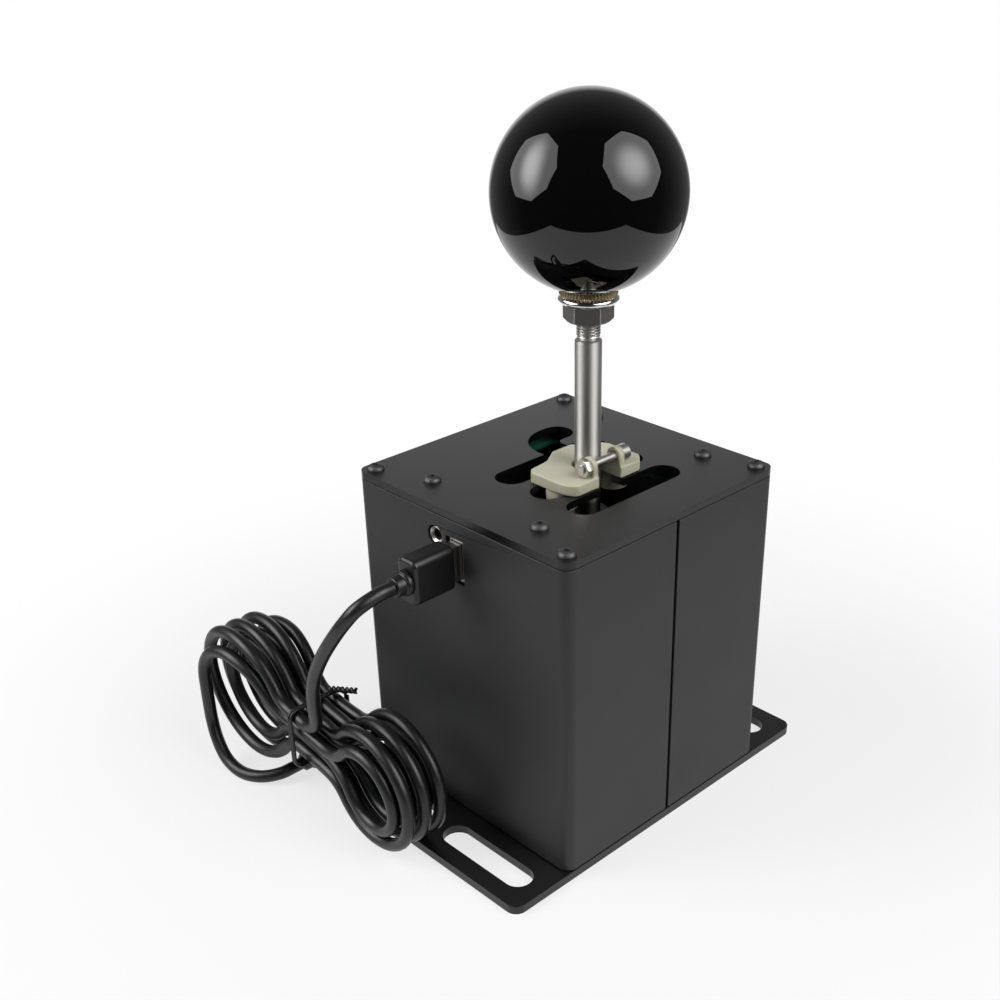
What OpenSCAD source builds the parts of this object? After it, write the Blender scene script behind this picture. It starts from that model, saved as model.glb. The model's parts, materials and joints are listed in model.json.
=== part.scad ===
// Gear shifter for a racing simulator: a sheet-metal housing with a gated top plate,
// a sprung lever on a two-axis pivot, a sequential slider and a tied signal cord.
// Millimetres. The origin is the centre of the base plate's underside, +Z is up,
// and the face with the sockets looks towards -Y.

/* [Housing] */
// Width and depth of the housing
body_w = 96; // [94:1:120]
// Height from the base plate's underside to the gate plate's top
body_h = 115; // [105:1:140]
// Thickness of the gate plate
gate_t = 2.5; // [2:0.5:4]
// Thickness of the base plate
base_t = 3; // [2.5:0.5:5]
// Thickness of the folded sheet of both shells
sheet_t = 1.5; // [1:0.25:1.75]
// Outside radius of the housing's upright corners
bend_r = 4; // [3:0.5:5]
// Gap of the seam where the two shells meet
seam = 1.2; // [0.3:0.1:1.5]
// Shadow gap between a shell's edge and the plates
reveal = 0.4; // [0.2:0.1:0.8]

/* [Base] */
// How far each mounting ear reaches past the housing
ear_len = 23; // [18:1:30]
// Length of a mounting slot
slot_len = 39; // [20:1:40]
// Width of a mounting slot
slot_w = 10; // [6:0.5:12]
// Web between the two slots of one ear
slot_web = 5.8; // [4:0.2:10]

/* [Gate] */
// Sideways offset of the gate's middle
gate_x = 1; // [-1:0.5:1]
// Fore-and-aft offset of the gate's middle
gate_y = 1; // [-1:0.5:1]
// Distance between lanes
lane_pitch = 16; // [15:0.5:17]
// Width of a lane and of the neutral channel
lane_w = 11; // [10:0.5:12]
// Length of a full lane
lane_len = 47.4; // [44:0.2:52]
// How far the reverse channel lies beyond the neutral channel
reverse_shift = 7.2; // [4:0.2:9]
// Corner radius of the reverse lane
reverse_r = 14; // [11:0.5:15]

/* [Screws] */
// Diameter of the small machine screws
screw_d = 3; // [2.5:0.5:3]
// Diameter of a button head
head_d = 5.7; // [5:0.1:6]
// Height of a button head
head_h = 1.7; // [1.2:0.1:2]
// Distance of a corner screw from the housing's sides
corner_inset = 4.5; // [4.5:0.1:6]
// Spacing of the board screws across the gate
board_screw_dx = 48.8; // [44:0.2:54]
// Spacing of the board screws along the gate
board_screw_dy = 75; // [70:0.5:78]

/* [Lever] */
// Diameter of the lever rod
rod_d = 8.4; // [7:0.1:9]
// Height of the pivot above the base plate's underside
pivot_z = 36; // [34:1:42]
// Height of the rod's shoulder above the gate plate
shoulder_rise = 45.3; // [30:0.1:60]
// Length of thread that shows under the lock nut
thread_show = 5.8; // [2:0.1:10]
// Width of the lock nut across its flats
nut_af = 13.6; // [12:0.1:17]
// Height of the lock nut
nut_h = 5.5; // [4:0.1:9]
// Diameter of the polished collar
collar_d = 18.6; // [16:0.1:22]
// Height of the polished collar
collar_h = 2.4; // [2:0.1:6]
// Diameter of the knob insert's rim
insert_d = 17.8; // [14:0.1:18]
// Height of the knob insert's rim
insert_h = 2; // [1.5:0.1:5]
// Diameter of the ball knob
knob_d = 58; // [50:1:65]

/* [Pivot] */
// Diameter of the pivot pins
pin_d = 6; // [5:0.5:7]
// Wall of a pivot bush
bush_t = 1; // [0.75:0.25:1.5]
// Radial clearance of a pin in its bush
run_gap = 0.05; // [0.02:0.01:0.1]
// Width of the lever foot between the ring's cheeks
foot_w = 17; // [16:0.5:20]
// Depth of the lever foot
foot_d = 14; // [13:0.5:16]
// Inside length of the gimbal ring
ring_len = 31; // [29:0.5:34]
// Wall of the gimbal ring
ring_t = 5; // [4:0.5:6]
// Height of the gimbal ring
ring_h = 16; // [14:0.5:18]
// Thickness of the pivot bracket's plate
bracket_t = 3; // [2:0.5:4]

/* [Slider] */
// Width of the slider's plate
slider_w = 20; // [18:0.5:22]
// Length of the slider's plate
slider_len = 34.5; // [32:0.5:36]
// Thickness of the slider's plate
slider_t = 3.6; // [3:0.2:5]
// Reach of the slider's side arm from the rod's axis
slider_arm = 15; // [12:0.5:16]
// Distance between the two guide pegs
peg_pitch = 23.5; // [22:0.5:24]
// Clearance of a guide peg in its lane, each side
peg_gap = 0.5; // [0.3:0.1:1]
// Depth of the pegs below the gate plate
peg_drop = 4.5; // [2:0.5:5]
// Clearance of the rod in the slider's slot, each side
rod_gap = 0.8; // [0.7:0.1:1.2]
// Radius of the ears that hold the cross bolt
ear_r = 3; // [2.4:0.1:3.2]

/* [Ports] */
// Sideways place of the data socket
usb_x = -0.5; // [-2:0.5:2]
// Depth of the data socket's centre below the gate plate's top
usb_drop = 16.2; // [15.8:0.1:20]
// Sideways place of the jack, from the data socket
jack_dx = -9; // [-12:0.5:-8]
// Depth of the jack's centre below the gate plate's top
jack_drop = 10.6; // [10.5:0.1:10.8]
// Gap between the gate plate and the circuit board
board_gap = 3.8; // [3:0.2:4]
// Thickness of the circuit board
board_t = 1.6; // [1:0.2:2]

/* [Cord] */
// Diameter of the cord
cord_d = 4.5; // [4:0.1:4.6]
// Whole loops in the tied hank
hank_loops = 6; // [4:1:6]
// Distance between neighbouring loops at the tie
loop_step = 5.4; // [5.3:0.1:5.6]

/* [Hidden] */
$fn = 64;

// Small cuts reach this far past the faces they open
cut = 1;
// Clearance of a screw in a plain hole, and of a screw in its thread
hole_gap = 0.2;
thread_gap = 0.05;
// Clearance of seated pieces that must not bind
seat_gap = 0.3;

// Heights
under_z = body_h - gate_t;
post_z0 = base_t + sheet_t;
post_z1 = under_z - sheet_t;
board_z = under_z - board_gap - board_t;
usb_z = body_h - usb_drop;
jack_z = body_h - jack_drop;
shoulder_z = body_h + shoulder_rise;
nut_z = shoulder_z + thread_show;
collar_z = nut_z + nut_h;
insert_z = collar_z + collar_h;
knob_seat_z = insert_z + insert_h;
knob_z = knob_seat_z + sqrt(pow(knob_d / 2, 2) - pow(insert_d / 2, 2));

// Places
post_at = body_w / 2 - corner_inset;
post_d = 2 * (corner_inset - sheet_t) - 0.4;
lever_x = gate_x + lane_pitch / 2;
lever_y = gate_y;
lane_x = [for (i = [0:3]) gate_x + lane_pitch * (1.5 - i)];
face_y = -body_w / 2;

// Black finishes and metals
satin_black = [0.07, 0.07, 0.075];
steel = [0.72, 0.72, 0.73];
chrome = [0.85, 0.85, 0.87];
brass = [0.72, 0.55, 0.27];
ivory = [0.83, 0.82, 0.72];
board_green = [0.05, 0.3, 0.2];

function unit(v) = v / norm(v);
function ease(a, b, x) = let (u = min(1, max(0, (x - a) / (b - a)))) u * u * (3 - 2 * u);

// Flat shapes

module rounded_rect(w, d, r) {
    square([w - 2 * r, d], center = true);
    square([w, d - 2 * r], center = true);
    for (sx = [-1, 1], sy = [-1, 1])
        translate([sx * (w / 2 - r), sy * (d / 2 - r)]) circle(r);
}

module slot_x(len, w) {
    square([len - w, w], center = true);
    for (s = [-1, 1])
        translate([s * (len - w) / 2, 0]) circle(w / 2);
}

module at_corners(dx, dy) {
    for (sx = [-1, 1], sy = [-1, 1])
        translate([sx * dx, sy * dy, 0]) children();
}

module at_board_screws() {
    translate([gate_x, gate_y, 0])
        at_corners(board_screw_dx / 2, board_screw_dy / 2) children();
}

// Fasteners

module button_screw(length) {
    r = head_d / 2;
    difference() {
        rotate_extrude()
            polygon([[0, 0], [r, 0], [r, 0.25 * head_h], [0.86 * r, 0.7 * head_h],
                     [0.55 * r, head_h], [0, head_h]]);
        translate([0, 0, 0.4 * head_h]) cylinder(r = 0.36 * r, h = head_h, $fn = 6);
    }
    translate([0, 0, -length]) cylinder(d = screw_d, h = length + 0.1);
}

module hex_nut(af, h, bore) {
    r = af / 2 / cos(30);
    c = r - af / 2;
    difference() {
        intersection() {
            cylinder(r = r, h = h, $fn = 6);
            rotate_extrude()
                polygon([[0, 0], [r - c, 0], [r, c / 2], [r, h - c / 2], [r - c, h], [0, h]]);
        }
        translate([0, 0, -cut]) cylinder(d = bore, h = h + 2 * cut);
    }
}

// Swept tubes: one ring of corners at each point of the route

function headings(pts) = [for (i = [0:len(pts) - 1])
    unit(pts[min(i + 1, len(pts) - 1)] - pts[max(i - 1, 0)])];

function tube_ring(p, t, ref, r, n) =
    let (a = unit(cross(t, ref)), b = cross(t, a))
    [for (i = [0:n - 1]) p + r * (cos(360 * i / n) * a + sin(360 * i / n) * b)];

module tube(pts, d, n, ref) {
    t = headings(pts);
    last = len(pts) - 1;
    corners = [for (i = [0:last]) each tube_ring(pts[i], t[i], ref, d / 2, n)];
    side = [for (i = [0:last - 1], j = [0:n - 1])
        let (k = (j + 1) % n, a = i * n + j, b = i * n + k)
        each [[a, b, b + n], [a, b + n, a + n]]];
    near = [for (j = [1:n - 2]) [0, j + 1, j]];
    far = [for (j = [1:n - 2]) [last * n, last * n + j, last * n + j + 1]];
    polyhedron(points = corners, faces = concat(side, near, far));
}

// Housing

module base_plate() {
    color(satin_black)
    difference() {
        linear_extrude(base_t)
            difference() {
                rounded_rect(body_w, body_w + 2 * ear_len, bend_r);
                at_corners((slot_len + slot_web) / 2, (body_w + ear_len) / 2)
                    slot_x(slot_len, slot_w);
            }
        at_corners(post_at, post_at) {
            translate([0, 0, -cut]) cylinder(d = screw_d + 2 * hole_gap, h = base_t + 2 * cut);
            translate([0, 0, -0.01])
                cylinder(r1 = screw_d + 0.01, r2 = screw_d / 2, h = screw_d / 2 + 0.01);
        }
        at_bracket_screws()
            translate([0, 0, -cut]) cylinder(d = screw_d + 2 * thread_gap, h = base_t + 2 * cut);
    }
}

module shell_wall() {
    translate([0, 0, base_t + reveal])
        linear_extrude(under_z - base_t - 2 * reveal)
            difference() {
                rounded_rect(body_w, body_w, bend_r);
                rounded_rect(body_w - 2 * sheet_t, body_w - 2 * sheet_t, bend_r - sheet_t);
            }
}

// Tabs folded in at the corners, clamped between a plate and a post
module shell_tab() {
    tab = corner_inset + post_d / 2 + 1;
    inner = body_w - sheet_t;
    linear_extrude(sheet_t)
        difference() {
            intersection() {
                rounded_rect(inner, inner, bend_r - sheet_t / 2);
                at_corners(body_w / 2 - tab / 2, body_w / 2 - tab / 2)
                    square(tab, center = true);
            }
            at_corners(post_at, post_at) circle(d = screw_d + 2 * hole_gap);
        }
}

module half_shell(side) {
    intersection() {
        union() {
            shell_wall();
            translate([0, 0, base_t]) shell_tab();
            translate([0, 0, post_z1]) shell_tab();
        }
        translate([-body_w, side > 0 ? seam / 2 : -body_w, 0])
            cube([2 * body_w, body_w - seam / 2, body_h]);
    }
}

module front_shell() {
    color(satin_black)
    difference() {
        half_shell(-1);
        translate([usb_x, face_y, usb_z])
            cube([socket_w + 2 * seat_gap, 4 * sheet_t, socket_h + 2 * seat_gap], center = true);
        translate([usb_x + jack_dx, face_y, jack_z])
            rotate([90, 0, 0]) cylinder(d = jack_d + 2 * jack_gap, h = 4 * sheet_t, center = true);
    }
}

module rear_shell() {
    color(satin_black) half_shell(1);
}

// Gate plate

module lane(x, y0, y1) {
    translate([x, (y0 + y1) / 2]) rotate(90) slot_x(y1 - y0, lane_w);
}

module reverse_lane() {
    xr = lane_x[3];
    y0 = gate_y + reverse_shift - lane_w / 2;
    corner = [xr - lane_w / 2 + reverse_r, y0 + reverse_r];
    far = gate_y + lane_len / 2;
    tooth_w = lane_pitch - lane_w;
    tooth_x = (xr + lane_x[2]) / 2;
    difference() {
        union() {
            intersection() {
                translate(corner) circle(reverse_r);
                translate(corner - [reverse_r, reverse_r]) square(reverse_r + 0.1);
            }
            translate([corner[0], y0]) square([lane_x[2] - corner[0], lane_w]);
            translate([xr - lane_w / 2, corner[1]]) square([lane_w, far - lane_w / 2 - corner[1]]);
            translate([xr, far - lane_w / 2]) circle(lane_w / 2);
        }
        translate([tooth_x, y0 + lane_w + tooth_w / 2]) {
            circle(tooth_w / 2);
            translate([-tooth_w / 2, 0]) square([tooth_w, lane_len]);
        }
    }
}

module gate_opening() {
    for (i = [0:2]) lane(lane_x[i], gate_y - lane_len / 2, gate_y + lane_len / 2);
    translate([lane_x[2], gate_y - lane_w / 2]) square([2 * lane_pitch, lane_w]);
    reverse_lane();
}

module gate_plate() {
    color(satin_black)
    translate([0, 0, under_z])
        linear_extrude(gate_t)
            difference() {
                rounded_rect(body_w, body_w, bend_r);
                gate_opening();
                at_corners(post_at, post_at) circle(d = screw_d + 2 * hole_gap);
                at_board_screws() circle(d = screw_d + 2 * hole_gap);
            }
}

// Posts and screws of the housing

post_thread = 9;

module corner_posts() {
    color(steel)
    at_corners(post_at, post_at)
        translate([0, 0, post_z0])
            difference() {
                cylinder(d = post_d, h = post_z1 - post_z0);
                for (z = [-cut, post_z1 - post_z0 - post_thread])
                    translate([0, 0, z])
                        cylinder(d = screw_d + 2 * thread_gap, h = post_thread + cut);
            }
}

module corner_screws() {
    color(satin_black)
    at_corners(post_at, post_at)
        translate([0, 0, body_h]) button_screw(gate_t + sheet_t + post_thread - 1);
}

module base_screws() {
    color(satin_black)
    at_corners(post_at, post_at) {
        translate([0, 0, thread_gap])
            cylinder(r1 = screw_d - thread_gap, r2 = screw_d / 2, h = screw_d / 2 - thread_gap);
        translate([0, 0, screw_d / 2 - 0.1])
            cylinder(d = screw_d, h = base_t + sheet_t + post_thread - 1 - screw_d / 2);
    }
}

// Circuit board under the gate plate

board_margin = 1.8;
board_edge = 1;
nut_af_small = 5.5;
nut_h_small = 2.4;
// Distance of the chips from the gate's lanes
chip_inset = 12;

module circuit_board() {
    side = post_at - post_d / 2 - board_edge;
    front = body_w / 2 - sheet_t - board_edge;
    window = [3 * lane_pitch + lane_w + 2 * board_margin, lane_len + 2 * board_margin];
    color(board_green)
    translate([0, 0, board_z])
        linear_extrude(board_t)
            difference() {
                translate([-side, -front]) square([2 * side, 2 * front]);
                translate([gate_x, gate_y]) rounded_rect(window[0], window[1], 3);
                at_board_screws() circle(d = screw_d + 2 * hole_gap);
            }
}

module board_spacers() {
    color(steel)
    at_board_screws()
        translate([0, 0, board_z + board_t])
            difference() {
                cylinder(d = head_d, h = board_gap);
                translate([0, 0, -cut]) cylinder(d = screw_d + 2 * hole_gap, h = board_gap + 2 * cut);
            }
}

module board_nuts() {
    color(steel)
    at_board_screws()
        translate([0, 0, board_z - nut_h_small])
            hex_nut(nut_af_small, nut_h_small, screw_d + 2 * thread_gap);
}

module board_screws() {
    color(satin_black)
    at_board_screws()
        translate([0, 0, body_h])
            button_screw(gate_t + board_gap + board_t + nut_h_small + 0.8);
}

module board_chips() {
    far_y = gate_y + lane_len / 2 + chip_inset;
    near_y = gate_y - lane_len / 2 - chip_inset;
    chips = [[12, near_y, 9, 9, 1.4], [-14, far_y, 7, 5, 1.2], [2, far_y, 6, 6, 1.2],
             [16, far_y, 4, 3, 2.5], [32, near_y, 4, 4, 3.5]];
    color([0.1, 0.1, 0.1])
    for (c = chips)
        translate([c[0] - c[2] / 2, c[1] - c[3] / 2, board_z - c[4]]) cube([c[2], c[3], c[4]]);
}

module gear_sensors() {
    reach = lane_len / 2 + board_margin + 2.5;
    places = concat(
        [for (i = [0:2], s = [-1, 1]) [lane_x[i], gate_y + s * reach]],
        [[lane_x[3], gate_y + reach]]);
    color([0.12, 0.12, 0.12])
    for (p = places)
        translate([p[0] - 2, p[1] - 1.5, board_z - 1.5]) cube([4, 3, 1.5]);
}

// Sockets in the front face

shell_w = 12;
shell_t = 4.5;
shell_wall_t = 0.3;
socket_w = 7;
socket_h = 14.5;
socket_len = 14;
socket_t = 1;
// How far the socket and the tongue lie behind the front face
socket_back = 1;
tongue_back = 1.5;
jack_d = 5.8;
// Clearance of the jack's ring in the housing, each side
jack_gap = 0.5;
jack_bore = 3.6;
tongue_t = 1.8;
finger_t = socket_w / 2 - socket_t - shell_t / 2;

module data_socket() {
    color(chrome)
    translate([usb_x, face_y + socket_back, usb_z]) {
        difference() {
            translate([-socket_w / 2, 0, -socket_h / 2]) cube([socket_w, socket_len, socket_h]);
            translate([-socket_w / 2 + socket_t, -cut, -socket_h / 2 + socket_t])
                cube([socket_w - 2 * socket_t, socket_len, socket_h - 2 * socket_t]);
        }
        translate([-socket_w / 2, sheet_t + seat_gap - socket_back, socket_h / 2])
            cube([socket_w, socket_len - sheet_t, board_z - usb_z - socket_h / 2]);
        // Spring fingers that grip the plug
        for (s = [-1, 1])
            translate([s * (shell_t / 2 + finger_t / 2), socket_len / 3, 0])
                cube([finger_t, 3, shell_w / 2], center = true);
    }
}

module socket_tongue() {
    color("white")
    translate([usb_x - tongue_t / 2, face_y + socket_back + tongue_back, usb_z - shell_w / 2 + 1])
        cube([tongue_t, socket_len - cut - tongue_back, shell_w - 2]);
}

module jack_body() {
    body = [6.4, 11, 2 * (board_z - jack_z)];
    back = face_y + sheet_t + seat_gap;
    color([0.08, 0.08, 0.08])
    translate([usb_x + jack_dx, 0, jack_z])
        difference() {
            translate([-body[0] / 2, back, -body[2] / 2]) cube(body);
            translate([0, back - cut, 0])
                rotate([-90, 0, 0]) cylinder(d = jack_bore, h = body[1] - 1 + cut);
        }
}

module jack_ring() {
    color(chrome)
    translate([usb_x + jack_dx, face_y - 0.2, jack_z])
        rotate([-90, 0, 0])
            difference() {
                cylinder(d = jack_d, h = sheet_t + seat_gap + 0.2);
                translate([0, 0, -cut]) cylinder(d = jack_bore, h = 10);
            }
}

// Pivot: bracket, gimbal ring and pins

ring_in = foot_w + 2;
ring_w = ring_in + 2 * ring_t;
ring_d = ring_len + 2 * ring_t;
cheek_gap = 1.6;
cheek_y = ring_d / 2 + cheek_gap;
cheek_w = 24;
bracket_w = 40;
bracket_screw_dx = 31;
bracket_screw_dy = 34;
bush_d = pin_d + 2 * run_gap + 2 * bush_t;
flange_d = bush_d + 3;
flange_t = 0.7;

module at_pivot() {
    translate([lever_x, lever_y, pivot_z]) children();
}

module at_bracket_screws() {
    translate([lever_x, lever_y, 0])
        at_corners(bracket_screw_dx / 2, bracket_screw_dy / 2) children();
}

module pivot_bracket() {
    rise = pivot_z - base_t;
    color(satin_black)
    difference() {
        translate([lever_x, lever_y, base_t]) {
            translate([-bracket_w / 2, -cheek_y - bracket_t, 0])
                cube([bracket_w, 2 * (cheek_y + bracket_t), bracket_t]);
            for (s = [-1, 1])
                translate([0, s * (cheek_y + bracket_t / 2), 0])
                    rotate([90, 0, 0])
                        linear_extrude(bracket_t, center = true) {
                            translate([-cheek_w / 2, 0]) square([cheek_w, rise]);
                            translate([0, rise]) circle(cheek_w / 2);
                        }
        }
        at_pivot()
            rotate([90, 0, 0]) cylinder(d = pin_d, h = 2 * ring_d, center = true);
        at_bracket_screws() cylinder(d = screw_d + 2 * hole_gap, h = pivot_z / 2);
    }
}

module bracket_screws() {
    color(steel)
    at_bracket_screws()
        translate([0, 0, base_t + bracket_t]) button_screw(bracket_t + base_t - 0.5);
}

// Two pins along Y, pressed into the bracket's cheeks
module sway_pins() {
    color(steel)
    at_pivot()
        for (s = [0, 180])
            rotate([0, 0, s])
                translate([0, ring_len / 2 + 0.5, 0])
                    rotate([-90, 0, 0]) {
                        cylinder(d = pin_d, h = ring_t + cheek_gap + bracket_t - 0.5);
                        translate([0, 0, ring_t + cheek_gap + bracket_t - 0.5])
                            cylinder(d = pin_d + 3, h = 2);
                    }
}

module gimbal_ring() {
    color([0.6, 0.61, 0.63])
    at_pivot()
        difference() {
            translate([0, 0, -ring_h / 2])
                linear_extrude(ring_h)
                    difference() {
                        rounded_rect(ring_w, ring_d, 3);
                        square([ring_in, ring_len], center = true);
                    }
            rotate([90, 0, 0]) cylinder(d = bush_d, h = 2 * ring_d, center = true);
            rotate([0, 90, 0]) cylinder(d = pin_d, h = 2 * ring_w, center = true);
        }
}

module bush(length, flange) {
    difference() {
        union() {
            cylinder(d = bush_d, h = length);
            if (flange) translate([0, 0, length]) cylinder(d = flange_d, h = flange_t);
        }
        translate([0, 0, -cut])
            cylinder(d = pin_d + 2 * run_gap, h = length + flange_t + 2 * cut);
    }
}

module sway_bushes() {
    color(brass)
    at_pivot()
        for (s = [0, 180])
            rotate([0, 0, s])
                translate([0, ring_len / 2, 0]) rotate([-90, 0, 0]) bush(ring_t, true);
}

module rock_pin() {
    color(steel)
    at_pivot() rotate([0, 90, 0]) cylinder(d = pin_d, h = ring_w, center = true);
}

// Springs

function coil(turns, r, length) = [for (i = [0:8 * turns])
    [r * cos(45 * i), r * sin(45 * i), length * i / (8 * turns)]];

module spring(turns, d, wire, length) {
    translate([0, 0, wire / 2])
        tube(coil(turns, (d - wire) / 2, length - wire), wire, 6, [0, 0, 1]);
}

spring_drop = 4;
rock_spring_d = 6.5;
rock_wire_d = 0.9;
sway_spring_d = 6.4;
sway_wire_d = 1.1;

module rock_springs() {
    span = (ring_len - foot_d) / 2 - 2 * seat_gap;
    color(steel)
    at_pivot()
        for (s = [0, 180])
            rotate([0, 0, s])
                translate([0, ring_len / 2, -spring_drop])
                    rotate([90, 0, 0]) spring(4, rock_spring_d, rock_wire_d, span);
}

module sway_springs() {
    z0 = base_t + bracket_t;
    span = pivot_z - ring_h / 2 - seat_gap - z0;
    color(steel)
    for (s = [-1, 1])
        translate([lever_x + s * (ring_w - ring_t) / 2, lever_y, z0])
            spring(6, sway_spring_d, sway_wire_d, span);
}

// Lever

foot_top = 18;
foot_low = 9;
socket_deep = 11;

module lever_foot() {
    color([0.55, 0.56, 0.58])
    at_pivot()
        difference() {
            translate([-foot_w / 2, -foot_d / 2, -foot_low])
                cube([foot_w, foot_d, foot_low + foot_top]);
            rotate([0, 90, 0]) cylinder(d = bush_d, h = 2 * foot_w, center = true);
            translate([0, 0, foot_top - socket_deep]) cylinder(d = rod_d, h = foot_top);
        }
}

module rock_bushes() {
    color(brass)
    at_pivot()
        for (s = [0, 180])
            rotate([0, 0, s]) rotate([0, 90, 0]) translate([0, 0, 0.2]) bush(foot_w / 2 - 0.2, true);
}

thread_pitch = 1.25;
thread_up = 12;
thread_d = rod_d - 0.9;
root_d = thread_d - 1.1;

module lever_rod() {
    r = rod_d / 2;
    low = pivot_z + foot_top - socket_deep;
    chamfer = 0.6;
    top = knob_seat_z + thread_up;
    turns = floor((top - shoulder_z) / thread_pitch);
    color(steel)
    translate([lever_x, lever_y, 0])
        rotate_extrude()
            polygon(concat(
                [[0, low], [r, low], [r, shoulder_z - chamfer], [r - chamfer, shoulder_z]],
                [for (i = [0:turns - 1]) each [
                    [root_d / 2, shoulder_z + (i + 0.3) * thread_pitch],
                    [thread_d / 2, shoulder_z + (i + 0.65) * thread_pitch],
                    [thread_d / 2, shoulder_z + (i + 0.85) * thread_pitch]]],
                [[root_d / 2, shoulder_z + (turns + 0.2) * thread_pitch],
                 [0, shoulder_z + (turns + 0.2) * thread_pitch]]));
}

magnet_h = 5;

module sensor_magnet() {
    z = board_z - peg_drop - magnet_h;
    color([0.3, 0.3, 0.32])
    translate([lever_x, lever_y, z])
        difference() {
            cylinder(d = rod_d + 5, h = magnet_h);
            translate([0, 0, -cut]) cylinder(d = rod_d, h = magnet_h + 2 * cut);
        }
}

// The nut is turned so that one flat faces the front right corner
nut_turn = -19;

module lock_nut() {
    color([0.2, 0.2, 0.2])
    translate([lever_x, lever_y, nut_z]) rotate(nut_turn) hex_nut(nut_af, nut_h, thread_d);
}

module knob_collar() {
    r = collar_d / 2;
    edge = collar_h / 2;
    color(chrome)
    translate([lever_x, lever_y, collar_z])
        rotate_extrude() {
            translate([thread_d / 2, 0]) square([r - edge - thread_d / 2, collar_h]);
            translate([r - edge, edge]) circle(edge);
        }
}

module knob_insert() {
    color(brass)
    translate([lever_x, lever_y, insert_z])
        difference() {
            union() {
                cylinder(d = insert_d, h = insert_h);
                cylinder(d = insert_d - 5, h = insert_h + thread_up + 4);
            }
            translate([0, 0, -cut]) cylinder(d = thread_d, h = insert_h + thread_up + 2 + cut);
        }
}

module knob() {
    color([0.02, 0.02, 0.02])
    difference() {
        translate([lever_x, lever_y, knob_z]) sphere(d = knob_d);
        translate([lever_x, lever_y, knob_z - knob_d])
            cylinder(d = knob_d, h = knob_d - (knob_z - knob_seat_z));
        translate([lever_x, lever_y, insert_z])
            cylinder(d = insert_d - 5, h = insert_h + thread_up + 4);
    }
}

// Sequential slider: a plate on the gate with two pegs in the middle lane,
// a slot for the rod and a cross bolt that closes the slot

slider_z = body_h + 0.2;
slider_slot = rod_d + 2 * rod_gap;
bolt_x = rod_d / 2 + rod_gap + screw_d / 2;
ear_t = 2.2;
bolt_z = slider_z + slider_t + nut_af_small / 2 + seat_gap;
ear_out = slider_slot / 2 + ear_t;

module at_slider() {
    translate([lever_x, lever_y, 0]) children();
}

module slider_plan() {
    w = slider_w / 2;
    l = slider_len / 2;
    c = 3.5;
    arm = slider_arm;
    // The corner under the nut is rounded as a quarter of an ellipse
    nose = [for (a = [-90:15:0]) [w - 2 * c + 2 * c * cos(a), -l + c + c * sin(a)]];
    difference() {
        polygon(concat([[-w, -l + c / 2], [-w + c / 2, -l]], nose,
                       [[w, l - c], [w - c, l], [-w + c, l], [-w, l - c / 2],
                        [-arm, arm / 2], [-arm, -1], [-w - 1, -arm / 2]]));
        circle(d = slider_slot);
        translate([0, -slider_slot / 2]) square([slider_w, slider_slot]);
    }
}

module slider_ear(y) {
    translate([bolt_x, y + ear_t, 0])
        rotate([90, 0, 0])
            linear_extrude(ear_t) {
                translate([0, bolt_z]) circle(ear_r);
                translate([-ear_r, slider_z]) square([2 * ear_r, bolt_z - slider_z]);
            }
}

module slider() {
    peg_z = under_z - peg_drop;
    color(ivory)
    at_slider()
        difference() {
            union() {
                translate([0, 0, slider_z]) linear_extrude(slider_t) slider_plan();
                slider_ear(slider_slot / 2);
                slider_ear(-slider_slot / 2 - ear_t);
                for (s = [-1, 1])
                    translate([0, s * peg_pitch / 2, peg_z])
                        cylinder(d = lane_w - 2 * peg_gap, h = slider_z + slider_t / 2 - peg_z);
            }
            translate([bolt_x, 0, bolt_z])
                rotate([90, 0, 0])
                    cylinder(d = screw_d + 2 * thread_gap, h = slider_len, center = true);
        }
}

module slider_bolt() {
    head = [5.5, 3];
    color(chrome)
    at_slider()
        translate([bolt_x, ear_out, bolt_z])
            rotate([-90, 0, 0]) {
                difference() {
                    cylinder(d = head[0], h = head[1]);
                    translate([0, 0, head[1] / 2]) cylinder(d = 2.9, h = head[1], $fn = 6);
                }
                translate([0, 0, -2 * ear_out - nut_h_small - 0.6])
                    cylinder(d = screw_d, h = 2 * ear_out + nut_h_small + 0.7);
            }
}

module slider_nut() {
    color(chrome)
    at_slider()
        translate([bolt_x, -ear_out, bolt_z])
            rotate([90, 0, 0])
                hex_nut(nut_af_small, nut_h_small, screw_d + 2 * thread_gap);
}

// Plugs of the cord

plug_w = 15.2;
plug_t = 8.5;
plug_len = 16;
plug_out = 3.2;
relief_len = 5.5;
relief_step = 2;
shell_len = 12;

// A plug that points along +Y, with its body's front face at the origin and its width along Z
module plug_shell_shape() {
    translate([-shell_t / 2, 0, -shell_w / 2])
        difference() {
            cube([shell_t, shell_len, shell_w]);
            translate([shell_wall_t, -cut, shell_wall_t])
                cube([shell_t - 2 * shell_wall_t, shell_len + 2 * cut, shell_w - 2 * shell_wall_t]);
        }
}

module plug_body_shape() {
    rotate([90, 0, 0]) {
        linear_extrude(plug_len) rounded_rect(plug_t, plug_w, 2.4);
    }
}

module plug_relief_shape() {
    translate([0, -plug_len, 0])
        rotate([90, 0, 0]) {
            cylinder(d = plug_t - 0.4, h = relief_step);
            cylinder(d = cord_d + 2, h = relief_len);
        }
}

module at_plug() {
    translate([usb_x, face_y - plug_out, usb_z]) children();
}

module plug_shell() {
    color(chrome) at_plug() plug_shell_shape();
}

module plug_body() {
    color([0.05, 0.05, 0.05]) at_plug() plug_body_shape();
}

module plug_relief() {
    color([0.05, 0.05, 0.05]) at_plug() plug_relief_shape();
}

// Where the second plug's relief meets the cord; it lies flat and points along +Y
far_end = [-61, -73, plug_t / 2];

module at_far_plug() {
    translate(far_end + [0, relief_len + plug_len, 0]) rotate([0, 90, 0]) children();
}

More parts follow.
